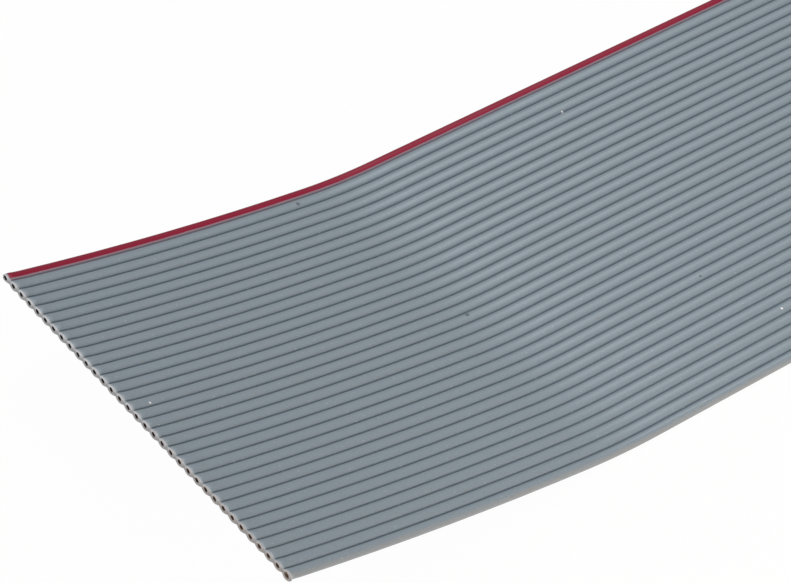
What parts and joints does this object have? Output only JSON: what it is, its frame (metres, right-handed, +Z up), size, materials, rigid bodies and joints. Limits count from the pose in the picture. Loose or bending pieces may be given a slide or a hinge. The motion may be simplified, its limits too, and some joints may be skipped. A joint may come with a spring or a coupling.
{
  "type": "ribbon cable",
  "caption": "Grey flat ribbon cable with a red edge stripe, lying flat with one cut end curled up a little.",
  "frame": {"origin": "middle of the underside of the whole cable, on the surface that it lies on", "axes": "+X along the cable from the raised cut end to the flat one, +Y across it towards the marked conductor 1, +Z up"},
  "size_m": [0.2994, 0.0428, 0.0085],
  "materials": {
    "grey_pvc": "soft satin extruded PVC, with a red ink stripe along the edge of conductor 1",
    "tinned_copper": "tinned copper strands, bare copper where they are sheared"
  },
  "bodies": {
    "root": {"insulation": "grey_pvc", "conductor_01": "tinned_copper", "conductor_02": "tinned_copper", "conductor_03": "tinned_copper", "conductor_04": "tinned_copper", "conductor_05": "tinned_copper", "conductor_06": "tinned_copper", "conductor_07": "tinned_copper", "conductor_08": "tinned_copper", "conductor_09": "tinned_copper", "conductor_10": "tinned_copper", "conductor_11": "tinned_copper", "conductor_12": "tinned_copper", "conductor_13": "tinned_copper", "conductor_14": "tinned_copper", "conductor_15": "tinned_copper", "conductor_16": "tinned_copper", "conductor_17": "tinned_copper", "conductor_18": "tinned_copper", "conductor_19": "tinned_copper", "conductor_20": "tinned_copper", "conductor_21": "tinned_copper", "conductor_22": "tinned_copper", "conductor_23": "tinned_copper", "conductor_24": "tinned_copper", "conductor_25": "tinned_copper", "conductor_26": "tinned_copper", "conductor_27": "tinned_copper", "conductor_28": "tinned_copper", "conductor_29": "tinned_copper", "conductor_30": "tinned_copper", "conductor_31": "tinned_copper", "conductor_32": "tinned_copper", "conductor_33": "tinned_copper", "conductor_34": "tinned_copper"}
  },
  "joints": []
}
